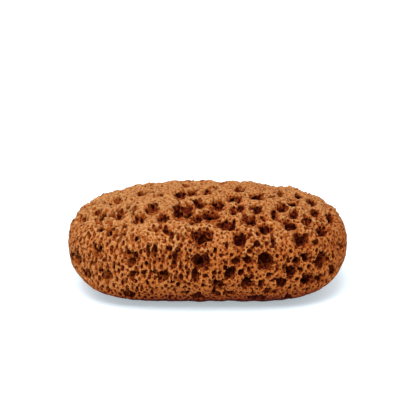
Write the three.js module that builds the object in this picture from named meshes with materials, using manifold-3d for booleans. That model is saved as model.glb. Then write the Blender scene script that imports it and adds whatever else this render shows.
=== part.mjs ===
// Sea sponge: one rounded oval piece, trimmed flat underneath and pitted with hollows all over.
// Millimetres, +X along its length, +Z up, front towards -Y, base on z = 0.
import * as THREE from 'three';
import { mergeVertices } from 'three/addons/utils/BufferGeometryUtils.js';
import Module from 'manifold-3d';

// Overall size
const LENGTH = 165;
const WIDTH = 106;
const HEIGHT = 57;
const BASE_CUT = 3.3;

// Powers of the rounded outline: 2 is an ellipse, more is squarer
const PLAN_POWER = 2.48;
const BASE_PLAN_POWER = 8;
const TOP_POWER = 2.77;
const UNDER_POWER = 2.35;
const SKIN_DETAIL = 6;

// The view in which the front's hollows were read, in a picture 416 pixels square
const PICTURE = 416;
const VIEW_TILT = THREE.MathUtils.degToRad(20);
const VIEW_DISTANCE = 900;
const VIEW_SIDE = 0.2;
const MIDDLE_ROW = 238;
const PIXELS_PER_MM = 1.68;

// Shape of a hollow, as shares of half its opening
const DEPTH_SHARE = 1.25;
const SUNK_SHARE = 0.2;
const RAGGED_SHARE = 0.13;
const ROUNDING = 1.2;
const MOST_STRETCH = 2.2;

// Hollows of the sides that the view shows too flatly or not at all
const HIDDEN_TRIES = 170;
const HIDDEN_SMALLEST = 6;
const HIDDEN_RANGE = 6.4;
const HIDDEN_SPACING = 1.22;
const TWIN_SHARE = 0.4;
const CLEAR_BASE = 13;
const READ_FACING = 0.34;

// Hollows read in the view: x, y, width, height and, where it leans, degrees anticlockwise
const BACK_RIDGE = [
  [181, 191, 14, 9], [193, 190, 14, 7], [207, 189, 9, 6], [239, 187, 9, 6], [231, 194, 9, 8],
  [238, 195, 7, 8], [257, 193, 14, 8], [299, 194, 7, 7], [312, 199, 7, 8],
];
const UPPER_FACE = [
  [96, 209, 9, 6], [102, 213, 6, 9, -25], [119, 211, 8, 8], [152, 204, 12, 9], [179, 206, 13, 12],
  [188, 206, 10, 12], [199, 200, 14, 7], [218, 200, 16, 9], [233, 206, 9, 7], [241, 204, 8, 7],
  [257, 205, 13, 7], [282, 204, 10, 7], [275, 210, 7, 9], [293, 200, 8, 7], [294, 211, 10, 7],
  [316, 210, 10, 6], [331, 214, 7, 9],
];
const BROW = [
  [136, 216, 6, 8], [141, 214, 6, 9], [163, 214, 12, 9], [197, 215, 14, 9], [211, 211, 18, 10],
  [227, 222, 21, 11], [250, 216, 15, 11], [264, 215, 10, 5], [266, 226, 14, 12], [291, 223, 16, 9],
  [309, 218, 7, 9], [324, 228, 13, 10], [109, 228, 9, 11], [156, 227, 10, 5], [166, 228, 9, 11],
  [202, 235, 22, 13], [240, 237, 15, 15], [302, 238, 14, 15],
];
const FRONT_FACE = [
  [93, 250, 4, 13], [98, 251, 6, 15], [77, 257, 10, 15], [127, 253, 7, 9], [134, 256, 8, 9],
  [131, 263, 9, 9], [148, 250, 4, 14], [154, 251, 6, 15], [175, 256, 8, 8], [174, 264, 6, 9],
  [200, 262, 16, 15], [206, 262, 6, 17], [236, 262, 10, 7], [248, 260, 9, 10], [266, 262, 16, 18],
  [297, 261, 9, 7], [306, 258, 8, 10], [322, 260, 13, 17],
];
const LOWER_FRONT = [
  [87, 274, 9, 10], [107, 275, 12, 9, 30], [132, 275, 6, 9, -20], [163, 276, 13, 9, 30],
  [195, 275, 8, 11], [230, 274, 10, 14, -25], [291, 272, 10, 14, -25], [333, 270, 9, 13],
  [308, 280, 14, 10], [320, 279, 7, 11], [247, 284, 14, 10], [261, 285, 6, 9],
  [218, 285, 12, 9, 30], [281, 283, 11, 11, 30],
];
const BASE_EDGE = [
  [130, 295, 12, 6], [198, 297, 13, 5], [257, 298, 18, 4], [267, 292, 9, 5],
];
const READ_HOLLOWS = [BACK_RIDGE, UPPER_FACE, BROW, FRONT_FACE, LOWER_FRONT, BASE_EDGE].flat();

const HALF = new THREE.Vector3(LENGTH / 2, WIDTH / 2, (HEIGHT + BASE_CUT) / 2);
const CENTRE = new THREE.Vector3(0, 0, HALF.z - BASE_CUT);

const wasm = await Module();
wasm.setup();

// The same number between 0 and 1 for the same two counts
function chance(count, salt) {
  const wave = Math.sin(count * 12.9898 + salt * 78.233) * 43758.5453;
  return wave - Math.floor(wave);
}

// How far out a place lies from the centre: 1 on the rounded skin, less inside
function reach(place) {
  const unit = place.clone().sub(CENTRE).divide(HALF);
  const down = Math.max(-unit.z / unit.length(), 0);
  const planPower = PLAN_POWER + (BASE_PLAN_POWER - PLAN_POWER) * down ** 2;
  const plan = (Math.abs(unit.x) ** planPower + Math.abs(unit.y) ** planPower) ** (1 / planPower);
  const power = unit.z < 0 ? UNDER_POWER : TOP_POWER;
  return (plan ** power + Math.abs(unit.z) ** power) ** (1 / power);
}

// Unit vector out of the skin; the trimmed base faces straight down
function outward(place) {
  if (place.z < 0.01) return new THREE.Vector3(0, 0, -1);
  const step = 0.05;
  const slope = ['x', 'y', 'z'].map((axis) => {
    const ahead = place.clone();
    const behind = place.clone();
    ahead[axis] += step;
    behind[axis] -= step;
    return reach(ahead) - reach(behind);
  });
  return new THREE.Vector3(...slope).normalize();
}

// The place where a line from the centre along a unit direction leaves the piece
function skinAlong(direction) {
  const place = direction.clone().multiply(HALF).add(CENTRE);
  const arm = place.clone().sub(CENTRE).divideScalar(reach(place));
  const trimmed = arm.z < -CENTRE.z ? -CENTRE.z / arm.z : 1;
  return arm.multiplyScalar(trimmed).add(CENTRE);
}

// The view's eye and its three directions; it looks a little lower than at the piece's middle
const focal = PIXELS_PER_MM * VIEW_DISTANCE;
const viewPitch = VIEW_TILT - Math.atan((MIDDLE_ROW - PICTURE / 2) / focal);
const eye = new THREE.Vector3(
  VIEW_SIDE,
  -VIEW_DISTANCE * Math.cos(VIEW_TILT),
  HEIGHT / 2 + VIEW_DISTANCE * Math.sin(VIEW_TILT),
);
const sideways = new THREE.Vector3(1, 0, 0);
const onward = new THREE.Vector3(0, Math.cos(viewPitch), -Math.sin(viewPitch));
const upright = new THREE.Vector3(0, Math.sin(viewPitch), Math.cos(viewPitch));

// The first place on the skin behind a picture point, or the nearest one when the line misses
function skinBehind(column, row) {
  const line = onward.clone().multiplyScalar(focal)
    .addScaledVector(sideways, column - PICTURE / 2)
    .addScaledVector(upright, PICTURE / 2 - row).normalize();
  let nearest = Infinity;
  let found = VIEW_DISTANCE;
  for (let far = VIEW_DISTANCE - 110; far < VIEW_DISTANCE + 110; far += 0.25) {
    const place = eye.clone().addScaledVector(line, far);
    const out = Math.max(reach(place), 1 - place.z / CENTRE.z);
    if (out < nearest) {
      nearest = out;
      found = far;
    }
    if (out <= 1) break;
  }
  const place = eye.clone().addScaledVector(line, found);
  return skinAlong(place.sub(CENTRE).divide(HALF).normalize());
}

// A hollow lies on a place of the skin, with two half widths along it and a turn about its outward line
function placedHollow(place, halfAcross, halfUp, turn, number) {
  const out = outward(place);
  const across = sideways.clone().addScaledVector(out, -sideways.dot(out));
  if (across.length() < 0.2) across.set(0, 1, 0).addScaledVector(out, -out.y);
  across.normalize().applyAxisAngle(out, turn);
  return { place, out, across, up: out.clone().cross(across), halfAcross, halfUp, number };
}

function readHollow([column, row, width, height, lean = 0], number) {
  const place = skinBehind(column, row);
  const out = outward(place);
  const across = sideways.clone().addScaledVector(out, -sideways.dot(out)).normalize();
  const up = out.clone().cross(across);
  const seenAcross = Math.max(across.dot(sideways), 1 / MOST_STRETCH);
  const seenUp = Math.max(up.dot(upright), 1 / MOST_STRETCH);
  const halfAcross = width / 2 / PIXELS_PER_MM / seenAcross;
  const halfUp = height / 2 / PIXELS_PER_MM / seenUp;
  return placedHollow(place, halfAcross, halfUp, THREE.MathUtils.degToRad(lean), number);
}

// Whether the view looks at a place steeply enough for its hollows to be read
function isRead(place) {
  return outward(place).dot(eye.clone().sub(place).normalize()) > READ_FACING;
}

function hasRoom(hollow, others) {
  const size = Math.max(hollow.halfAcross, hollow.halfUp);
  return others.every((other) => {
    const apart = hollow.place.distanceTo(other.place);
    return apart > HIDDEN_SPACING * (size + Math.max(other.halfAcross, other.halfUp));
  });
}

// Evenly spiralled places over the hidden sides, each kept where no hollow is in its way
function hiddenHollows(read) {
  const kept = [];
  const golden = Math.PI * (3 - Math.sqrt(5));
  for (let i = 0; i < HIDDEN_TRIES; i += 1) {
    const level = 1 - (2 * (i + 0.5)) / HIDDEN_TRIES;
    const ring = Math.sqrt(1 - level * level);
    const angle = i * golden + chance(i, 1) * 0.2;
    const place = skinAlong(new THREE.Vector3(ring * Math.cos(angle), ring * Math.sin(angle), level));
    const width = HIDDEN_SMALLEST + HIDDEN_RANGE * chance(i, 2) ** 1.6;
    const height = width * (0.7 + 0.5 * chance(i, 3));
    const turn = Math.PI * chance(i, 4);
    const hollow = placedHollow(place, width / 2, height / 2, turn, i + 500);
    const underMiddle = place.z < 0.01 && place.length() < CLEAR_BASE;
    if (isRead(place) || underMiddle || !hasRoom(hollow, [...read, ...kept])) continue;
    kept.push(hollow);
    if (chance(i, 5) < TWIN_SHARE && place.z > 1) kept.push(twinOf(hollow, i));
  }
  return kept;
}

// A second, smaller lobe that breaks into the first with a rib left between their floors
function twinOf(hollow, i) {
  const beside = hollow.place.clone().addScaledVector(hollow.across, hollow.halfAcross * 1.25);
  const place = skinAlong(beside.sub(CENTRE).divide(HALF).normalize());
  const share = 0.65 + 0.25 * chance(i, 6);
  return placedHollow(place, hollow.halfAcross * share, hollow.halfUp * share, chance(i, 7), i + 1500);
}

// A plain welded form, with nothing but its corners and triangles
function welded(geometry) {
  for (const name of ['normal', 'uv']) geometry.deleteAttribute(name);
  return mergeVertices(geometry, 1e-4);
}

function solidOf(geometry) {
  return new wasm.Manifold(new wasm.Mesh({
    numProp: 3,
    vertProperties: new Float32Array(geometry.attributes.position.array),
    triVerts: new Uint32Array(geometry.index.array),
  }));
}

// A ragged egg-shaped hole, sunk so that its mouth is a little tighter than its inside
function hollowSolid(hollow) {
  const geometry = welded(new THREE.IcosahedronGeometry(1));
  const spots = geometry.attributes.position;
  const half = (hollow.halfAcross + hollow.halfUp) / 2;
  const depth = Math.min(half, 2 * Math.min(hollow.halfAcross, hollow.halfUp)) * DEPTH_SHARE;
  for (let i = 0; i < spots.count; i += 1) {
    const ragged = ROUNDING + RAGGED_SHARE * (2 * chance(i, hollow.number) - 1);
    const spot = new THREE.Vector3().fromBufferAttribute(spots, i).multiplyScalar(ragged);
    const place = hollow.place.clone()
      .addScaledVector(hollow.across, spot.x * hollow.halfAcross)
      .addScaledVector(hollow.up, spot.y * hollow.halfUp)
      .addScaledVector(hollow.out, (spot.z - SUNK_SHARE) * depth);
    spots.setXYZ(i, place.x, place.y, place.z);
  }
  return solidOf(geometry);
}

function roundedBody() {
  const geometry = welded(new THREE.IcosahedronGeometry(1, SKIN_DETAIL));
  const spots = geometry.attributes.position;
  for (let i = 0; i < spots.count; i += 1) {
    const spot = new THREE.Vector3().fromBufferAttribute(spots, i).normalize();
    const arm = spot.multiply(HALF);
    const place = arm.clone().divideScalar(reach(arm.clone().add(CENTRE))).add(CENTRE);
    spots.setXYZ(i, place.x, place.y, place.z);
  }
  const trim = new THREE.BoxGeometry(LENGTH * 1.2, WIDTH * 1.2, HEIGHT).translate(0, 0, -HEIGHT / 2);
  return solidOf(geometry).subtract(solidOf(welded(trim)));
}

function spongeGeometry() {
  const read = READ_HOLLOWS.map(readHollow);
  const hollows = [...read, ...hiddenHollows(read)];
  const holes = wasm.Manifold.union(hollows.map(hollowSolid));
  const piece = roundedBody().subtract(holes).getMesh();
  const geometry = new THREE.BufferGeometry();
  geometry.setAttribute('position', new THREE.BufferAttribute(piece.vertProperties, 3));
  geometry.setIndex(new THREE.BufferAttribute(piece.triVerts, 1));
  return geometry;
}

const spongeMaterial = new THREE.MeshStandardMaterial({
  color: new THREE.Color().setRGB(0.6, 0.34, 0.16, THREE.SRGBColorSpace),
  roughness: 0.95,
  metalness: 0,
});

const sponge = new THREE.Mesh(spongeGeometry(), spongeMaterial);
sponge.name = 'sponge';

const seaSponge = new THREE.Group();
seaSponge.add(sponge);

export default seaSponge;
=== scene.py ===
# Sea sponge: one porous piece in place of the solid, worked out in millimetres and made in metres
import math

import bpy
import numpy as np
import openvdb
from mathutils import Matrix, Vector


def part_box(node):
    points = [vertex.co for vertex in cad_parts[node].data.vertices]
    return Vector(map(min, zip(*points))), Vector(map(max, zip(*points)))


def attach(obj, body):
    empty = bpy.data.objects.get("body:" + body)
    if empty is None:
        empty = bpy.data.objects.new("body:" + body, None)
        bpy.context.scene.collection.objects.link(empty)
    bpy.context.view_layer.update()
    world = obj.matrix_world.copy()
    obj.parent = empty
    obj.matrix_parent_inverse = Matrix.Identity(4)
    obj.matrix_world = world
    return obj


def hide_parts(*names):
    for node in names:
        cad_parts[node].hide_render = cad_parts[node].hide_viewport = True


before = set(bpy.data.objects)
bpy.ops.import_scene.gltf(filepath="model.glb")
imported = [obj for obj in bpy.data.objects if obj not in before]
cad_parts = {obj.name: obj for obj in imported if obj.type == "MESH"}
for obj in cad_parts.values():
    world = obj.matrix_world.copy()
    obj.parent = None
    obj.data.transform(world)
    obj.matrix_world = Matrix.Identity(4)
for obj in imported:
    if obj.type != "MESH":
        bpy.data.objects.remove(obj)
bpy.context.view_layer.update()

MM = 0.001
LOWEST, HIGHEST = (np.array(corner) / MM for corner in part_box("sponge"))
LENGTH, WIDTH, HEIGHT = HIGHEST - LOWEST

# The solid's rounded outline: how much the flat base takes off, and powers where 2 is an ellipse
BASE_CUT = 3.3
PLAN_POWER = 2.48
BASE_PLAN_POWER = 8
TOP_POWER = 2.77
UNDER_POWER = 2.35
HALF = np.array([LENGTH, WIDTH, HEIGHT + BASE_CUT]) / 2
CENTRE = np.array([0, 0, HALF[2] - BASE_CUT])

# The photo's view: a picture 416 pixels square
PICTURE = 416
VIEW_TILT = math.radians(20)
VIEW_DISTANCE = 900
VIEW_SIDE = 0.2
MIDDLE_ROW = 238
PIXELS_PER_MM = 1.68
SENSOR_WIDTH = 36
CLIP_END = 20

# How far along a line of sight the skin is looked for, in millimetres
SEARCH_REACH = 110
SEARCH_STEP = 0.25

# Shape of a hollow, in shares of half its opening: a bowl, and a narrower throat that goes deeper
BOWL_DEPTH = 1.4
THROAT_DEPTH = 1.9
THROAT_SMALLEST = 0.6
THROAT_RANGE = 0.3
THROAT_SHIFT = 0.85
SMALL_DEPTH = 1.7
SUNK_SHARE = 0.22

# The most that a slanting hollow is stretched, and the shortest sideways line that sets its turn
MOST_STRETCH = 2.2
SHORTEST_ACROSS = 0.2

# Rounding of a hollow's lip in millimetres, and how uneven its wall is
LIP = 0.4
BOWL_LIP = 0.7
SMALL_LIP = 0.2
RAGGED_FROM = 3.2
THROAT_RAGGED = 0.7
SMALL_RAGGED = 0.25

# Hollows of the top: more ragged, deeper and set higher, with narrower throats
TOP_RAGGED = 0.7
TOP_DEEPER = 0.2
TOP_RISE = 1.8
TOP_FUNNEL = 0.25

# The shallow dip round a hollow of the top, where the skin faces up enough
DISH_UPWARD = 0.5
DISH_WIDTH = 1.75
DISH_DEPTH = 5.5
DISH_RISE = 0.42
DISH_LIP = 1.2
DISH_RAGGED = 0.5
DISH_FACING = 0.55

# Turn of the top's hollows towards the view, and narrowing at the ends and near the outline
LEAN_UPWARD = 0.3
LEAN_BLEND = 0.3
LEAN_FACING = 0.7
MOST_LEAN = 0.8
LEAN_SHIFT = 0.45
END_NARROWING = 0.5
EDGE_TAMING = 0.5

# Uneven skin in millimetres: lumps all over, mounds and crumbs mostly on the top, dents underneath
LUMP_HEIGHT = 0.4
LUMP_LENGTH = 14
MOUND_HEIGHT = 1.3
MOUND_LENGTH = 11
MOUND_LEVEL = 0.5
MOUND_CUT = 0.9
CRUMB_HEIGHT = 0.6
CRUMB_LENGTH = 2.6
CRUMB_LEVEL = 0.3
SIDE_RELIEF = 0.2
RELIEF_FROM = 28
RELIEF_FULL = 44
DENT_HEIGHT = 1.8
DENT_LENGTH = 15
BASE_ROUNDING = 1.5

# Lengths of the single waves of an uneven field, in shares of its own length
LENGTH_SPREAD = (0.7, 1.4)

# Uneven wall of a hollow: long waves, and close ribs drawn out along its depth
WALL_WAVE = 0.75
WALL_LENGTH = 5
RIB_HEIGHT = 0.6
RIB_LENGTH = 3.4
RIB_LEVEL = 0.4
RIB_STRETCH = 0.3
RIB_SEED = 7000

# Hollows of the sides that the view shows too flatly or not at all
HIDDEN_TRIES = 170
HIDDEN_SMALLEST = 6
HIDDEN_RANGE = 6.4
HIDDEN_POWER = 1.6
HIDDEN_SPACING = 1.22
SPIRAL_SHIFT = 0.2
FLATTEST = 0.7
FLAT_RANGE = 0.5
TWIN_SHARE = 0.4
TWIN_ABOVE = 1
TWIN_ASIDE = 1.25
TWIN_SMALLEST = 0.65
TWIN_RANGE = 0.25
CLEAR_BASE = 13
ON_BASE = 0.01
READ_FACING = 0.34
GOLDEN_ANGLE = math.pi * (3 - math.sqrt(5))

# First number of each kind of hollow; a hollow's number sets the unevenness of its wall
FIRST_HIDDEN = 500
FIRST_TWIN = 1500
FIRST_SMALL = 3000

# The carving grid, and the furthest distance that it needs
VOXEL = 0.4
MARGIN = 3.0
FURTHEST = 3.0
MOST_TRIANGLES = 198_000

# Pores: wide ones far apart, then small ones between them, each from the -X end to the +X end
WIDE_PORES = {"sizes": (0.95, 1.1), "gaps": (5.6, 4.4), "seed": 11}
SMALL_PORES = {"sizes": (0.86, 0.68), "gaps": (2.6, 2.3), "seed": 12}
PORE_CANDIDATES = 90_000
SIZE_SPREAD = (0.75, 1.25)
GAP_SPREAD = (0.85, 1.2)
COARSE_MIDDLE = -12
COARSE_BLEND = 9
TALLEST_PORE = 1.75
COARSE_TALL_LOSS = 0.65
PORE_DEPTH = 1.7
TOP_DEPTH_LOSS = 0.6
PORE_LIP = 0.25
PORE_WALL = 1.0
NEARLY_UP = np.array([0.05, 0.0, 1.0])
SHORTEST_CROSS = 0.05

# What the material reads for its painted shade and highlight: depths that count as full, and the rays
# that look for what closes a place in
HOLLOW_FULL = 5.0
PORE_FULL = 1.6
CREST_FULL = 0.3
CREST_REACH = 0.8
SHADE_RAYS = 48
SHADE_LIFT = 0.3
SHADE_STEPS = (0.6, 1.0, 1.5, 2.2, 3.2, 4.5, 6.5, 9.0)

# Colours from the bottom of a pit, dark with painted shade, to a crest, light with a painted highlight,
# in the values of a picture
PIT_TO_CREST = [
    (0.0, (72, 15, 4)),
    (0.2, (120, 42, 7)),
    (0.45, (142, 67, 18)),
    (0.7, (167, 92, 37)),
    (1.0, (187, 131, 80)),
]
BASE_LIGHT = 0.87

# Patterns of the skeleton, in cells or spots to a metre
FINE_CELLS = 600
FINEST_CELLS = 1050
PATCHES = 90
GRAIN = 1500

# Places in metres, and the share of a hollow's depth, between which the colour changes with painted
# shade: near the base, on the sides, towards +X and in the hollows, with the hollows lighter towards -X
LOW_SHADE_EDGE = (0, 0.018)
FOOT_SHADE_EDGE = (0.0025, 0.009)
SIDE_SHADE_EDGE = (0.052, 0.034)
RIGHT_SHADE_EDGE = (-0.08, 0.03)
LEFT_LIGHT_EDGE = (0.0, -0.05)
HOLLOW_SHADE_EDGE = (0.08, 0.95)

# The studio, in metres and watts
FLOOR_HALF = 3.0
FLOOR_COLOUR = (0.75, 0.85, 0.94, 1)
FLOOR_GLOW = (0.85, 0.96, 1, 1)
FLOOR_GLOW_STRENGTH = 0.42
WORLD_STRENGTH = 0.8
KEY_PLACE = (-0.16, -0.58, 1.1)
KEY_SIZE = 0.8
KEY_POWER = 13.5
LIT_PLACE = (0, 0, 0.03)

# Hollows read in the view: x, y, width, height and, where it leans, degrees anticlockwise
BACK_RIDGE = [
    (181, 191, 14, 9), (193, 190, 14, 7), (207, 189, 9, 6), (239, 187, 9, 6), (231, 194, 9, 8),
    (238, 195, 7, 8), (257, 193, 14, 8), (299, 194, 7, 7), (312, 199, 7, 8),
]
UPPER_FACE = [
    (96, 209, 9, 6), (102, 213, 6, 9, -25), (119, 211, 8, 8), (152, 204, 12, 9), (179, 206, 13, 12),
    (188, 206, 10, 12), (199, 200, 14, 7), (218, 200, 16, 9), (233, 206, 9, 7), (241, 204, 8, 7),
    (257, 205, 13, 7), (282, 204, 10, 7), (275, 210, 7, 9), (293, 200, 8, 7), (294, 211, 10, 7),
    (316, 210, 10, 6), (331, 214, 7, 9),
]
BROW = [
    (136, 216, 6, 8), (141, 214, 6, 9), (163, 214, 12, 9), (197, 215, 14, 9), (211, 211, 18, 10),
    (227, 222, 21, 11), (250, 216, 15, 11), (264, 215, 10, 5), (266, 226, 14, 12), (291, 223, 16, 9),
    (309, 218, 7, 9), (324, 228, 13, 10), (109, 228, 9, 11), (156, 227, 10, 5), (166, 228, 9, 11),
    (202, 235, 22, 13), (240, 237, 15, 15), (302, 238, 14, 15),
]
FRONT_FACE = [
    (93, 250, 4, 13), (98, 251, 6, 15), (77, 257, 10, 15), (127, 253, 7, 9), (134, 256, 8, 9),
    (131, 263, 9, 9), (148, 250, 4, 14), (154, 251, 6, 15), (175, 256, 8, 8), (174, 264, 6, 9),
    (200, 262, 16, 15), (206, 262, 6, 17), (236, 262, 10, 7), (248, 260, 9, 10), (266, 262, 16, 18),
    (297, 261, 9, 7), (306, 258, 8, 10), (322, 260, 13, 17),
]
LOWER_FRONT = [
    (87, 274, 9, 10), (107, 275, 12, 9, 30), (132, 275, 6, 9, -20), (163, 276, 13, 9, 30),
    (195, 275, 8, 11), (230, 274, 10, 14, -25), (291, 272, 10, 14, -25), (333, 270, 9, 13),
    (308, 280, 14, 10), (320, 279, 7, 11), (247, 284, 14, 10), (261, 285, 6, 9),
    (218, 285, 12, 9, 30), (281, 283, 11, 11, 30),
]
BASE_EDGE = [(130, 295, 12, 6), (198, 297, 13, 5), (257, 298, 18, 4), (267, 292, 9, 5)]
READ_HOLLOWS = BACK_RIDGE + UPPER_FACE + BROW + FRONT_FACE + LOWER_FRONT + BASE_EDGE

# Smaller openings read in the same view, which the solid leaves out
SMALL_UPPER = [
    (108, 199, 3, 2), (104, 202, 4, 4), (132, 202, 6, 4), (128, 206, 5, 5), (134, 208, 6, 5),
    (153, 192, 4, 3), (154, 196, 3, 3), (158, 195, 4, 4), (162, 193, 6, 6), (178, 198, 3, 3),
    (216, 187, 7, 5), (245, 187, 5, 4), (272, 195, 6, 5), (280, 193, 6, 7), (286, 190, 3, 3),
    (315, 202, 4, 3), (86, 218, 6, 6), (81, 219, 5, 5), (77, 222, 4, 3), (111, 213, 7, 6),
    (164, 209, 3, 3), (195, 206, 3, 4), (298, 201, 3, 3), (303, 209, 4, 3), (192, 220, 11, 4),
    (184, 219, 3, 3), (218, 225, 3, 3), (247, 224, 6, 5), (304, 220, 5, 6), (307, 227, 6, 5),
    (320, 218, 9, 4), (110, 220, 5, 4), (100, 229, 8, 5),
]
SMALL_BROW = [
    (211, 231, 6, 6), (115, 235, 5, 7), (124, 225, 4, 5), (121, 237, 3, 6), (131, 237, 3, 4),
    (136, 238, 4, 6), (172, 234, 5, 8), (178, 236, 3, 8), (183, 238, 4, 6), (187, 234, 4, 3),
    (189, 229, 5, 3), (250, 233, 4, 5), (258, 233, 5, 5), (264, 237, 4, 4), (273, 242, 5, 12),
    (309, 234, 4, 4), (317, 235, 5, 4), (322, 238, 4, 5), (329, 239, 4, 5), (252, 241, 4, 4),
    (257, 243, 7, 7), (316, 242, 6, 6), (190, 241, 5, 5), (199, 245, 5, 8), (204, 245, 5, 6),
    (181, 245, 4, 6), (227, 245, 4, 8), (237, 248, 4, 4), (297, 247, 4, 4), (262, 247, 3, 4),
    (81, 238, 3, 4), (77, 238, 3, 3), (93, 232, 3, 3),
]
SMALL_FRONT = [
    (215, 251, 4, 5), (208, 252, 3, 5), (224, 255, 3, 3), (121, 252, 3, 6), (169, 248, 7, 6),
    (178, 250, 6, 6), (170, 257, 4, 6), (250, 251, 6, 6), (253, 261, 3, 4), (312, 258, 3, 4),
    (288, 260, 4, 5), (285, 267, 6, 6), (333, 255, 3, 5), (339, 250, 3, 4), (342, 246, 5, 8),
    (188, 260, 3, 6), (226, 263, 4, 5), (225, 268, 4, 5), (159, 260, 3, 5), (146, 264, 4, 5),
    (154, 263, 4, 4), (92, 263, 4, 4), (104, 260, 3, 4), (108, 266, 3, 5), (114, 267, 3, 5),
]
SMALL_LOWER = [
    (100, 271, 4, 5), (137, 273, 4, 6), (136, 281, 4, 4), (143, 273, 5, 5), (155, 272, 4, 5),
    (188, 274, 4, 4), (195, 281, 3, 4), (181, 278, 5, 7), (214, 273, 5, 5), (241, 273, 6, 7),
    (249, 270, 4, 6), (269, 275, 6, 5), (277, 270, 4, 4), (301, 270, 5, 6), (309, 267, 4, 5),
    (311, 275, 5, 5), (252, 277, 5, 5), (178, 285, 4, 6), (148, 284, 3, 4), (152, 288, 4, 3),
    (123, 279, 3, 2), (126, 283, 3, 3), (127, 287, 3, 3), (137, 290, 4, 4), (142, 286, 3, 3),
    (172, 282, 4, 3), (175, 279, 3, 3), (185, 287, 4, 3), (203, 286, 4, 4), (204, 277, 3, 3),
    (212, 282, 4, 3), (255, 286, 3, 3), (275, 279, 4, 3), (301, 284, 4, 4), (109, 290, 7, 4),
    (185, 293, 8, 4), (214, 293, 6, 6), (219, 294, 4, 4), (226, 293, 6, 4), (232, 293, 5, 5),
    (275, 291, 4, 3), (287, 297, 6, 4),
]
SMALL_READ = SMALL_UPPER + SMALL_BROW + SMALL_FRONT + SMALL_LOWER


def chance(count, salt):
    """The same number between 0 and 1 for the same two counts, as in the solid."""
    wave = math.sin(count * 12.9898 + salt * 78.233) * 43758.5453
    return wave - math.floor(wave)


def unit(vector):
    return vector / np.linalg.norm(vector)


def reach(x, y, z):
    """How far out places lie from the centre: 1 on the rounded skin, less inside."""
    across, along, level = x / HALF[0], y / HALF[1], (z - CENTRE[2]) / HALF[2]
    far = np.sqrt(across * across + along * along + level * level) + 1e-9
    down = np.maximum(-level / far, 0)
    plan_power = PLAN_POWER + (BASE_PLAN_POWER - PLAN_POWER) * down * down
    plan = (np.abs(across) ** plan_power + np.abs(along) ** plan_power) ** (1 / plan_power)
    power = np.where(level < 0, UNDER_POWER, TOP_POWER)
    return (plan ** power + np.abs(level) ** power) ** (1 / power)


def outward(place):
    """Unit vector out of the skin; the trimmed base faces straight down."""
    if place[2] < ON_BASE:
        return np.array([0.0, 0.0, -1.0])
    step = 0.05
    ahead = [reach(*(place + step * axis)) for axis in np.eye(3)]
    behind = [reach(*(place - step * axis)) for axis in np.eye(3)]
    return unit(np.array(ahead) - np.array(behind))


def skin_along(direction):
    """The place where a line from the centre along a direction leaves the piece."""
    arm = direction * HALF
    arm = arm / reach(*(arm + CENTRE))
    if arm[2] < -CENTRE[2]:
        arm = arm * (-CENTRE[2] / arm[2])
    return arm + CENTRE


FOCAL = PIXELS_PER_MM * VIEW_DISTANCE
VIEW_PITCH = VIEW_TILT - math.atan((MIDDLE_ROW - PICTURE / 2) / FOCAL)
EYE = np.array([
    VIEW_SIDE,
    -VIEW_DISTANCE * math.cos(VIEW_TILT),
    HEIGHT / 2 + VIEW_DISTANCE * math.sin(VIEW_TILT),
])
SIDEWAYS = np.array([1.0, 0.0, 0.0])
ONWARD = np.array([0.0, math.cos(VIEW_PITCH), -math.sin(VIEW_PITCH)])
UPRIGHT = np.array([0.0, math.sin(VIEW_PITCH), math.cos(VIEW_PITCH)])


def skin_behind(column, row):
    """The first place on the skin behind a picture point, or the nearest one when the line misses."""
    line = unit(ONWARD * FOCAL + SIDEWAYS * (column - PICTURE / 2) + UPRIGHT * (PICTURE / 2 - row))
    far = np.arange(VIEW_DISTANCE - SEARCH_REACH, VIEW_DISTANCE + SEARCH_REACH, SEARCH_STEP)
    places = EYE + line * far[:, None]
    out = np.maximum(reach(*places.T), 1 - places[:, 2] / CENTRE[2])
    inside = out <= 1
    found = inside.argmax() if inside.any() else out.argmin()
    return skin_along(unit((places[found] - CENTRE) / HALF))


def placed_hollow(place, half_across, half_up, turn, number):
    """A hollow on the skin, with two half widths along it and a turn about its outward line."""
    out = outward(place)
    across = SIDEWAYS - out * out[0]
    if np.linalg.norm(across) < SHORTEST_ACROSS:
        across = np.array([0.0, 1.0, 0.0]) - out * out[1]
    across = unit(across)
    up = np.cross(out, across)
    turned = across * math.cos(turn) + up * math.sin(turn)
    return {"place": place, "out": out, "across": turned, "up": np.cross(out, turned),
            "half": (half_across, half_up), "number": number}


def read_hollow(number, column, row, width, height, lean=0):
    """A hollow with the place and size, in picture pixels, that the view shows."""
    place = skin_behind(column, row)
    out = outward(place)
    across = unit(SIDEWAYS - out * out[0])
    up = np.cross(out, across)
    half_across = width / 2 / PIXELS_PER_MM / max(across @ SIDEWAYS, 1 / MOST_STRETCH)
    half_up = height / 2 / PIXELS_PER_MM / max(up @ UPRIGHT, 1 / MOST_STRETCH)
    return placed_hollow(place, half_across, half_up, math.radians(lean), number)


def is_read(place):
    """Whether the view looks at a place steeply enough for its hollows to be read."""
    return outward(place) @ unit(EYE - place) > READ_FACING


def has_room(hollow, others):
    """Whether a hollow keeps clear of all the others."""
    size = max(hollow["half"])
    return all(
        np.linalg.norm(hollow["place"] - other["place"]) > HIDDEN_SPACING * (size + max(other["half"]))
        for other in others
    )


def twin_of(hollow, i):
    """A second, smaller lobe that breaks into the first with a rib left between their floors."""
    half_across, half_up = hollow["half"]
    beside = hollow["place"] + hollow["across"] * half_across * TWIN_ASIDE
    place = skin_along(unit((beside - CENTRE) / HALF))
    share = TWIN_SMALLEST + TWIN_RANGE * chance(i, 6)
    return placed_hollow(place, half_across * share, half_up * share, chance(i, 7), i + FIRST_TWIN)


def spiralled(i, count, shift=0.0):
    """One of a number of directions that are spread evenly in a spiral."""
    level = 1 - 2 * (i + 0.5) / count
    ring = math.sqrt(1 - level * level)
    angle = i * GOLDEN_ANGLE + shift
    return np.array([ring * math.cos(angle), ring * math.sin(angle), level])


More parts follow.
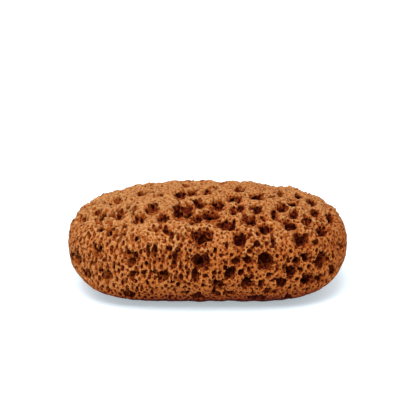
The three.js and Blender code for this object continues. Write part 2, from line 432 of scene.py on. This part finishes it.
def hidden_hollow(place, i):
    width = HIDDEN_SMALLEST + HIDDEN_RANGE * chance(i, 2) ** HIDDEN_POWER
    height = width * (FLATTEST + FLAT_RANGE * chance(i, 3))
    return placed_hollow(place, width / 2, height / 2, math.pi * chance(i, 4), i + FIRST_HIDDEN)


def hidden_hollows(read):
    """Hollows spread evenly over the hidden sides, each kept where no other is in its way."""
    kept = []
    for i in range(HIDDEN_TRIES):
        place = skin_along(spiralled(i, HIDDEN_TRIES, chance(i, 1) * SPIRAL_SHIFT))
        hollow = hidden_hollow(place, i)
        under_middle = place[2] < ON_BASE and np.linalg.norm(place) < CLEAR_BASE
        if is_read(place) or under_middle or not has_room(hollow, read + kept):
            continue
        kept.append(hollow)
        if chance(i, 5) < TWIN_SHARE and place[2] > TWIN_ABOVE:
            kept.append(twin_of(hollow, i))
    return kept


class Carving:
    """Signed distances in millimetres on an even grid: below 0 inside the sponge, above 0 outside."""

    def __init__(self):
        self.start = LOWEST - MARGIN
        self.axes = [np.arange(low - MARGIN, high + MARGIN, VOXEL) for low, high in zip(LOWEST, HIGHEST)]
        even = [axis.astype(np.float32) for axis in self.axes]
        points = np.meshgrid(*even, indexing="ij", sparse=True)
        rounded = reach(*points).astype(np.float32)
        slope = np.sqrt(sum(g * g for g in np.gradient(rounded, VOXEL)))
        body = (rounded - 1) / np.maximum(slope, 1e-3)
        roughen(body, points)
        dents = DENT_HEIGHT * np.maximum(waves(points, DENT_LENGTH, count=8, seed=4), 0)
        self.distance = softer_highest(body, dents - points[2], BASE_ROUNDING)
        self.body = self.distance.copy()

    def block(self, place, radius):
        """The slices of the grid round a place, and the block's own coordinates."""
        first = np.maximum(((place - radius - self.start) / VOXEL).astype(int), 0)
        last = ((place + radius - self.start) / VOXEL).astype(int) + 2
        slices = tuple(slice(a, b) for a, b in zip(first, last))
        near = [axis[part] for axis, part in zip(self.axes, slices)]
        return slices, np.meshgrid(*near, indexing="ij", sparse=True)

    def dig(self, hollow, depth, lip, ragged=0, sunk=SUNK_SHARE):
        """Takes an egg-shaped hole out of the sponge, with its wall uneven and ribbed where ragged."""
        halves = (*hollow["half"], depth)
        middle = hollow["place"] - hollow["out"] * (depth * sunk)
        slices, points = self.block(middle, max(halves) + 2 * ragged + 1)
        offset = [axis - centre for axis, centre in zip(points, middle)]
        sides = [hollow[side] for side in ("across", "up", "out")]
        turned = [sum(part * share for part, share in zip(offset, side)) for side in sides]
        shares = np.sqrt(sum((part / half) ** 2 for part, half in zip(turned, halves))) + 1e-6
        steep = np.sqrt(sum((part / half ** 2) ** 2 for part, half in zip(turned, halves))) + 1e-6
        inside = shares * (1 - shares) / steep
        if ragged:
            number = hollow["number"]
            upright = (turned[0], turned[1], turned[2] * RIB_STRETCH)
            ribs = RIB_LEVEL - np.abs(waves(upright, RIB_LENGTH, count=6, seed=number + RIB_SEED))
            wall = waves(points, WALL_LENGTH, count=5, seed=number)
            inside = inside + ragged * (WALL_WAVE * wall - RIB_HEIGHT * ribs)
        self.distance[slices] = softer_highest(self.distance[slices], inside, lip)

    def sample(self, values, places):
        """A field's value at each place, blended between the eight nearest grid points."""
        spots = (places - self.start) / VOXEL
        whole = np.clip(np.floor(spots).astype(int), 0, np.array(values.shape) - 2)
        part = spots - whole
        total = np.zeros(len(places))
        for corner in np.ndindex(2, 2, 2):
            at = whole + corner
            share = np.prod(np.where(corner, part, 1 - part), axis=1)
            total += share * values[at[:, 0], at[:, 1], at[:, 2]]
        return total

    def surface(self):
        """Corners and four-sided faces of the surface where the distance is 0."""
        values = np.clip(self.distance, -FURTHEST, FURTHEST)
        grid = openvdb.FloatGrid(FURTHEST)
        grid.copyFromArray(np.ascontiguousarray(values))
        corners, faces = grid.convertToQuads(0.0)
        return corners * VOXEL + self.start, faces


def roughen(body, points):
    """Adds the lumps, mounds and crumbs of the skin to a field of distances."""
    risen = (points[2] - RELIEF_FROM) / (RELIEF_FULL - RELIEF_FROM)
    share = SIDE_RELIEF + (1 - SIDE_RELIEF) * np.clip(risen, 0, 1)
    mounds = np.minimum(np.abs(waves(points, MOUND_LENGTH, count=12, seed=2)), MOUND_CUT)
    crumbs = waves(points, CRUMB_LENGTH, count=10, seed=3) + CRUMB_LEVEL
    body += LUMP_HEIGHT * waves(points, LUMP_LENGTH, count=7, seed=1)
    body += MOUND_HEIGHT * share * (MOUND_LEVEL - mounds)
    body += CRUMB_HEIGHT * share * crumbs


def softer_highest(a, b, rounding):
    """The higher of two fields, with the crease between them rounded."""
    blend = np.maximum(rounding - np.abs(a - b), 0) / rounding
    return np.maximum(a, b) + blend * blend * (rounding / 4)


def waves(points, length, count, seed):
    """A smooth uneven field of about -1 to 1, made of waves in several directions."""
    rng = np.random.default_rng(seed)
    total = 0
    for _ in range(count):
        direction = unit(rng.normal(size=3)) * 2 * math.pi / (length * rng.uniform(*LENGTH_SPREAD))
        phase = rng.uniform(0, 2 * math.pi)
        along = sum(axis * k for axis, k in zip(points, direction.astype(np.float32)))
        total = total + np.cos(along + phase)
    return total / math.sqrt(count * 2)


def opening_size(hollow):
    """Half the width of a hollow's opening, taken as no more than twice its narrow way."""
    half_across, half_up = hollow["half"]
    return min((half_across + half_up) / 2, 2 * min(half_across, half_up))


def widened(hollow, share):
    half_across, half_up = hollow["half"]
    return {**hollow, "half": (half_across * share, half_up * share)}


def throat_of(hollow):
    """The narrow deep part, off the middle of its bowl."""
    number = hollow["number"]
    turn = 2 * math.pi * chance(number, 11)
    aside = hollow["across"] * math.cos(turn) + hollow["up"] * math.sin(turn)
    share = THROAT_SMALLEST + THROAT_RANGE * chance(number, 12)
    throat = widened(hollow, share)
    throat["place"] = hollow["place"] + aside * THROAT_SHIFT * (1 - share) * opening_size(hollow)
    return throat


def facing_of(hollow):
    """How squarely a hollow's skin faces the view: 1 straight at it, 0 along the outline."""
    return hollow["out"] @ unit(EYE - hollow["place"])


def ahead_of(hollow):
    """The way along the skin that comes towards the view."""
    return unit(hollow["out"] * (ONWARD @ hollow["out"]) - ONWARD)


def dish_of(hollow):
    """The shallow dip round a hollow of the top, moved towards the view where the skin slants away."""
    dish = widened(hollow, DISH_WIDTH)
    slant = max(0, DISH_FACING - facing_of(hollow))
    dish["place"] = hollow["place"] + ahead_of(hollow) * slant * opening_size(hollow)
    return dish


def leaned(hollow):
    """A hollow of the top turned to open towards the view, further where the skin slants away."""
    upward = np.clip((hollow["out"][2] - LEAN_UPWARD) / LEAN_BLEND, 0, 1)
    slant = upward * max(0, 1 - facing_of(hollow) / LEAN_FACING)
    place = hollow["place"] + ahead_of(hollow) * LEAN_SHIFT * slant * opening_size(hollow)
    out = unit(hollow["out"] + unit(EYE - hollow["place"]) * MOST_LEAN * slant)
    across = unit(hollow["across"] - out * (hollow["across"] @ out))
    half_across, half_up = hollow["half"]
    half_across *= 1 - END_NARROWING * out[0] ** 4
    return {**hollow, "place": place, "out": out, "across": across, "up": np.cross(out, across),
            "half": (half_across, half_up)}


def tamed(hollow):
    """A hollow made smaller near the outline that the view shows."""
    near = max(0, 1 - abs(facing_of(hollow)) / READ_FACING)
    return widened(hollow, 1 - EDGE_TAMING * near)


def dig_dishes(carving, hollows):
    for hollow in hollows:
        if hollow["out"][2] > DISH_UPWARD:
            dish = leaned(dish_of(tamed(hollow)))
            carving.dig(dish, DISH_DEPTH, DISH_LIP, DISH_RAGGED, -DISH_RISE)


def dig_hollow(carving, hollow):
    """Digs a hollow's bowl and then its throat."""
    size = opening_size(hollow)
    upward = max(0, hollow["out"][2])
    ragged = min(1, min(hollow["half"]) / RAGGED_FROM) * (1 + TOP_RAGGED * upward)
    sunk = SUNK_SHARE * (1 - TOP_RISE * upward)
    carving.dig(hollow, BOWL_DEPTH * (1 + TOP_DEEPER * upward) * size, BOWL_LIP, ragged, sunk)
    throat = widened(throat_of(hollow), 1 - TOP_FUNNEL * upward)
    carving.dig(throat, THROAT_DEPTH * size, LIP, THROAT_RAGGED * ragged)


def dig_hollows(carving):
    read = [read_hollow(number, *opening) for number, opening in enumerate(READ_HOLLOWS)]
    hidden = [tamed(hollow) for hollow in hidden_hollows(read)]
    dig_dishes(carving, read + hidden)
    for hollow in [leaned(hollow) for hollow in read] + hidden:
        dig_hollow(carving, hollow)


def dig_small(carving):
    for number, opening in enumerate(SMALL_READ):
        hollow = read_hollow(FIRST_SMALL + number, *opening)
        carving.dig(leaned(hollow), SMALL_DEPTH * opening_size(hollow), SMALL_LIP, SMALL_RAGGED)


def coarse_side(places):
    """0 where the pores are fine, towards -X, and 1 where they are coarse, towards +X."""
    return 1 / (1 + np.exp(-(places[:, 0] - COARSE_MIDDLE) / COARSE_BLEND))


def scattered(places, spacing, taken, rng):
    """Places picked in random order, each at least its own spacing from those picked before it."""
    cell = max(spacing.max(), max((gap for _, gap in taken), default=0))
    nearby = {}
    for place, gap in taken:
        nearby.setdefault(tuple((place // cell).astype(int)), []).append((*place, gap))
    steps = [(i, j, k) for i in (-1, 0, 1) for j in (-1, 0, 1) for k in (-1, 0, 1)]
    cells = (places // cell).astype(int)
    kept = []
    for index in rng.permutation(len(places)):
        x, y, z = places[index]
        gap = spacing[index]
        a, b, c = cells[index]
        close = any(
            (x - u) ** 2 + (y - v) ** 2 + (z - w) ** 2 < max(gap, other) ** 2
            for i, j, k in steps
            for u, v, w, other in nearby.get((a + i, b + j, c + k), ())
        )
        if close:
            continue
        nearby.setdefault((a, b, c), []).append((x, y, z, gap))
        kept.append(index)
    return np.array(kept)


def slopes(carving, places):
    """Unit vectors out of the carved surface."""
    step = VOXEL
    values = carving.distance
    slope = [
        carving.sample(values, places + step * axis) - carving.sample(values, places - step * axis)
        for axis in np.eye(3)
    ]
    slope = np.stack(slope, axis=1)
    return slope / np.maximum(np.linalg.norm(slope, axis=1, keepdims=True), 1e-6)


def pore_at(place, out, radius, tall):
    """A round pore, drawn out upright to a multiple of its radius."""
    across = np.cross(NEARLY_UP, out)
    if np.linalg.norm(across) < SHORTEST_CROSS:
        across = SIDEWAYS
    across = unit(across)
    return {"place": place, "out": out, "across": across, "up": np.cross(out, across),
            "half": (radius, radius * tall)}


def dig_pores(carving, sizes, gaps, seed, taken):
    """Pits the carved surface with pores whose size and spacing change along X."""
    rng = np.random.default_rng(seed)
    corners, _ = carving.surface()
    places = corners[rng.permutation(len(corners))[:PORE_CANDIDATES]]
    coarse = coarse_side(places)
    spacing = (gaps[0] + (gaps[1] - gaps[0]) * coarse) * rng.uniform(*GAP_SPREAD, len(places))
    kept = scattered(places, spacing, taken, rng)
    chosen = places[kept]
    outs = slopes(carving, chosen)
    radii = (sizes[0] + (sizes[1] - sizes[0]) * coarse[kept]) * rng.uniform(*SIZE_SPREAD, len(kept))
    talls = TALLEST_PORE - COARSE_TALL_LOSS * coarse[kept]
    for place, out, radius, tall in zip(chosen, outs, radii, talls):
        depth = radius * (PORE_DEPTH - TOP_DEPTH_LOSS * max(out[2], 0))
        carving.dig(pore_at(place, out, radius, tall), depth, PORE_LIP)
    return [(place, radius + PORE_WALL) for place, radius in zip(chosen, radii)]


def sponge_mesh(carving):
    """The carved surface as a mesh, thinned to the most triangles that it may have."""
    corners, faces = carving.surface()
    mesh = bpy.data.meshes.new("carved")
    mesh.vertices.add(len(corners))
    mesh.vertices.foreach_set("co", (corners * MM).astype(np.float32).ravel())
    mesh.loops.add(faces.size)
    mesh.loops.foreach_set("vertex_index", faces[:, ::-1].astype(np.int32).ravel())
    mesh.polygons.add(len(faces))
    mesh.polygons.foreach_set("loop_start", np.arange(0, faces.size, 4, dtype=np.int32))
    mesh.update(calc_edges=True)
    mesh.validate()
    carved = bpy.data.objects.new("carved", mesh)
    bpy.context.scene.collection.objects.link(carved)
    thin = carved.modifiers.new("thin", "DECIMATE")
    thin.ratio = min(1.0, MOST_TRIANGLES / (2 * len(faces)))
    done = bpy.data.meshes.new_from_object(carved.evaluated_get(bpy.context.evaluated_depsgraph_get()))
    bpy.data.objects.remove(carved)
    bpy.data.meshes.remove(mesh)
    return done


def blurred(values, radius):
    """A field's mean over a cube round each grid point."""
    steps = max(1, round(radius / VOXEL))
    for axis in range(3):
        edges = [(steps + 1, steps) if other == axis else (0, 0) for other in range(3)]
        padded = np.pad(values, edges, mode="edge")
        total = np.cumsum(padded, axis=axis, dtype=np.float32)
        high = np.take(total, np.arange(2 * steps + 1, total.shape[axis]), axis=axis)
        low = np.take(total, np.arange(0, total.shape[axis] - 2 * steps - 1), axis=axis)
        values = (high - low) / (2 * steps + 1)
    return values


def shade_of(carving, places):
    """How much of what each place faces is closed off by the sponge round it, from 0 to 1."""
    outs = slopes(carving, places)
    closed = np.zeros(len(places))
    total = np.zeros(len(places))
    for ray in range(SHADE_RAYS):
        direction = spiralled(ray, SHADE_RAYS)
        facing = np.maximum(outs @ direction, 0)
        blocked = np.zeros(len(places), dtype=bool)
        for far in SHADE_STEPS:
            spots = places + outs * SHADE_LIFT + direction * far
            spots = ((spots - carving.start) / VOXEL).round().astype(int)
            spots = np.clip(spots, 0, np.array(carving.distance.shape) - 1)
            blocked |= carving.distance[spots[:, 0], spots[:, 1], spots[:, 2]] < 0
        closed += facing * blocked
        total += facing
    return closed / total


def paint_depths(mesh, carving, before_pores):
    """Keeps at each corner how deep it lies, how closed in it is, and whether it is a crest, which the
    material paints as shade and highlight.
    """
    places = np.empty(len(mesh.vertices) * 3, dtype=np.float32)
    mesh.vertices.foreach_get("co", places)
    places = places.reshape(-1, 3) / MM
    near = np.clip(carving.distance, -FURTHEST, FURTHEST)
    crest = blurred(near, CREST_REACH) - near
    depths = {
        "hollow": np.clip(carving.sample(-carving.body, places) / HOLLOW_FULL, 0, 1),
        "pore": np.clip(carving.sample(-before_pores, places) / PORE_FULL, 0, 1),
        "crest": np.clip(carving.sample(crest, places) / CREST_FULL, -1, 1),
        "shade": shade_of(carving, places),
    }
    for name, depth in depths.items():
        values = mesh.attributes.new(name, "FLOAT", "POINT").data
        values.foreach_set("value", depth.astype(np.float32))


def build_sponge():
    carving = Carving()
    dig_hollows(carving)
    dig_small(carving)
    before_pores = carving.distance.copy()
    taken = dig_pores(carving, **WIDE_PORES, taken=[])
    dig_pores(carving, **SMALL_PORES, taken=taken)
    mesh = sponge_mesh(carving)
    paint_depths(mesh, carving, before_pores)
    sponge = bpy.data.objects.new("sea_sponge", mesh)
    bpy.context.scene.collection.objects.link(sponge)
    mesh.shade_smooth()
    mesh.materials.append(sponge_material())
    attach(sponge, "root")
    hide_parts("sponge")


def srgb(red, green, blue):
    """A colour given as 0 to 255 of a picture, as the light values that a shader takes."""
    shares = [value / 255 for value in (red, green, blue)]
    return [s / 12.92 if s <= 0.04045 else ((s + 0.055) / 1.055) ** 2.4 for s in shares] + [1]


class Shader:
    """A node material under construction."""

    def __init__(self, name):
        self.material = bpy.data.materials.new(name)
        self.material.use_nodes = True
        self.tree = self.material.node_tree
        self.surface = self.tree.nodes["Principled BSDF"]

    def node(self, kind, **settings):
        made = self.tree.nodes.new(kind)
        for name, value in settings.items():
            setattr(made, name, value)
        return made

    def join(self, source, target):
        self.tree.links.new(source, target)

    def attribute(self, name):
        return self.node("ShaderNodeAttribute", attribute_name=name).outputs["Fac"]

    def math(self, operation, first, second, clamp=False):
        made = self.node("ShaderNodeMath", operation=operation, use_clamp=clamp)
        for socket, value in zip(made.inputs, (first, second)):
            if isinstance(value, (int, float)):
                socket.default_value = value
            else:
                self.join(value, socket)
        return made.outputs[0]

    def times(self, first, second):
        return self.math("MULTIPLY", first, second)

    def rest(self, value):
        """What is left of 1 beside a value."""
        return self.math("SUBTRACT", 1, value)

    def mixed(self, base, parts):
        """A base and a sum of weighted values, kept between 0 and 1."""
        total = base
        for weight, value in parts:
            total = self.math("ADD", total, self.times(value, weight))
        return self.math("ADD", total, 0.0, clamp=True)

    def noise(self, scale, detail, roughness):
        made = self.node("ShaderNodeTexNoise")
        made.inputs["Scale"].default_value = scale
        made.inputs["Detail"].default_value = detail
        made.inputs["Roughness"].default_value = roughness
        self.join(self.place(), made.inputs["Vector"])
        return made.outputs["Fac"]

    def cells(self, scale, upright):
        """Distance from the middles of round cells, drawn out upright by a factor."""
        stretch = self.node("ShaderNodeMapping")
        stretch.inputs["Scale"].default_value = (1, 1, 1 / upright)
        self.join(self.place(), stretch.inputs["Vector"])
        made = self.node("ShaderNodeTexVoronoi", feature="F1")
        made.inputs["Scale"].default_value = scale
        self.join(stretch.outputs["Vector"], made.inputs["Vector"])
        return made.outputs["Distance"]

    def place(self):
        return self.node("ShaderNodeTexCoord").outputs["Object"]

    def spread(self, value, low, high):
        """A smooth change from 0 at the low value to 1 at the high one."""
        made = self.node("ShaderNodeMapRange", interpolation_type="SMOOTHSTEP")
        self.join(value, made.inputs["Value"])
        made.inputs["From Min"].default_value = low
        made.inputs["From Max"].default_value = high
        return made.outputs["Result"]

    def ramp(self, value, stops):
        made = self.node("ShaderNodeValToRGB")
        elements = made.color_ramp.elements
        while len(elements) < len(stops):
            elements.new(0.5)
        for element, (position, colour) in zip(elements, stops):
            element.position = position
            element.color = colour
        self.join(value, made.inputs["Fac"])
        return made.outputs["Color"]

    def bump(self, height, distance, strength, under=None):
        made = self.node("ShaderNodeBump")
        made.inputs["Distance"].default_value = distance
        made.inputs["Strength"].default_value = strength
        self.join(height, made.inputs["Height"])
        if under is not None:
            self.join(under, made.inputs["Normal"])
        return made.outputs["Normal"]


def lightness(shader, fine, finest, grain):
    """How light the skeleton is at each place, as a sum with each part's weight beside it: its own
    patches and grain, with painted shade and a painted highlight.
    """
    axes = shader.node("ShaderNodeSeparateXYZ")
    shader.join(shader.place(), axes.inputs["Vector"])
    low = shader.spread(axes.outputs["Z"], *LOW_SHADE_EDGE)
    foot = shader.spread(axes.outputs["Z"], *FOOT_SHADE_EDGE)
    side = shader.spread(axes.outputs["Z"], *SIDE_SHADE_EDGE)
    right_shade = shader.spread(axes.outputs["X"], *RIGHT_SHADE_EDGE)
    left = shader.spread(axes.outputs["X"], *LEFT_LIGHT_EDGE)
    deep = shader.spread(shader.attribute("hollow"), *HOLLOW_SHADE_EDGE)
    between = shader.rest(fine)
    return shader.mixed(BASE_LIGHT, [
        (0.2, shader.noise(PATCHES, detail=4, roughness=0.65)),
        (0.6, shader.math("SUBTRACT", grain, 0.5)),
        # Painted shade in the hollows, less of it towards -X and more of it on the top
        (-0.25, deep),
        (0.14, shader.times(deep, left)),
        (-0.38, shader.times(deep, shader.rest(side))),
        # Painted shade in the pores
        (-0.12, shader.attribute("pore")),
        # Painted highlight on the crests
        (0.22, shader.attribute("crest")),
        (-0.3, shader.attribute("shade")),
        # Painted shade near the base, darkest along its edge
        (-0.6, shader.rest(low)),
        (-0.55, shader.rest(foot)),
        # Painted shade growing towards +X
        (-0.12, right_shade),
        # Painted shade on the sides, so that the top is lighter
        (-0.27, side),
        # Painted shade in the fine and finest pits of the shader, more of it on the sides
        (-0.2, between),
        (-0.22, shader.times(between, side)),
        (-0.28, shader.rest(finest)),
    ])


def sponge_material():
    """Dry matt skeleton: tan ridges with a painted highlight, and walls and pits made browner and dark
    red-brown by painted shade.
    """
    shader = Shader("sponge")
    fine = shader.spread(shader.cells(FINE_CELLS, upright=1.3), 0.26, 0.44)
    finest = shader.spread(shader.cells(FINEST_CELLS, upright=1.2), 0.2, 0.45)
    grain = shader.noise(GRAIN, detail=3, roughness=0.7)
    light = lightness(shader, fine, finest, grain)
    colour = shader.ramp(light, [(share, srgb(*picture)) for share, picture in PIT_TO_CREST])
    shader.join(colour, shader.surface.inputs["Base Color"])
    shader.surface.inputs["Roughness"].default_value = 0.95
    shader.surface.inputs["Specular IOR Level"].default_value = 0.1
    relief = shader.bump(fine, distance=0.0006, strength=0.9)
    relief = shader.bump(finest, distance=0.0003, strength=0.8, under=relief)
    relief = shader.bump(grain, distance=0.00015, strength=0.8, under=relief)
    shader.join(relief, shader.surface.inputs["Normal"])
    return shader.material


def build_stage():
    corners = [(x * FLOOR_HALF, y * FLOOR_HALF, 0) for x, y in ((-1, -1), (1, -1), (1, 1), (-1, 1))]
    mesh = bpy.data.meshes.new("floor")
    mesh.from_pydata(corners, [], [(0, 1, 2, 3)])
    floor = bpy.data.objects.new("floor", mesh)
    bpy.context.scene.collection.objects.link(floor)
    shader = Shader("floor")
    shader.surface.inputs["Base Color"].default_value = FLOOR_COLOUR
    shader.surface.inputs["Emission Color"].default_value = FLOOR_GLOW
    shader.surface.inputs["Emission Strength"].default_value = FLOOR_GLOW_STRENGTH
    shader.surface.inputs["Roughness"].default_value = 1.0
    mesh.materials.append(shader.material)


def soft_light(name, place, size, power):
    """A square soft light that faces the sponge."""
    lamp = bpy.data.lights.new(name, "AREA")
    lamp.size = size
    lamp.energy = power
    holder = bpy.data.objects.new(name, lamp)
    holder.location = place
    aim = Vector(LIT_PLACE) - Vector(place)
    holder.rotation_euler = aim.to_track_quat("-Z", "Y").to_euler()
    bpy.context.scene.collection.objects.link(holder)


def build_light():
    world = bpy.data.worlds.new("studio")
    world.use_nodes = True
    world.node_tree.nodes["Background"].inputs["Color"].default_value = (1, 1, 1, 1)
    world.node_tree.nodes["Background"].inputs["Strength"].default_value = WORLD_STRENGTH
    bpy.context.scene.world = world
    soft_light("key", KEY_PLACE, KEY_SIZE, KEY_POWER)


def build_camera():
    """The view that the hollows were read in, with its lens from the picture's scale."""
    camera = bpy.data.cameras.new("camera")
    camera.sensor_width = SENSOR_WIDTH
    camera.lens = SENSOR_WIDTH * FOCAL / PICTURE
    camera.clip_end = CLIP_END
    holder = bpy.data.objects.new("camera", camera)
    turned = Matrix((SIDEWAYS, UPRIGHT, -ONWARD)).transposed()
    holder.matrix_world = Matrix.Translation(Vector(EYE * MM)) @ turned.to_4x4()
    bpy.context.scene.collection.objects.link(holder)
    bpy.context.scene.camera = holder


build_sponge()
build_stage()
build_light()
build_camera()
bpy.context.scene.view_settings.view_transform = "Standard"
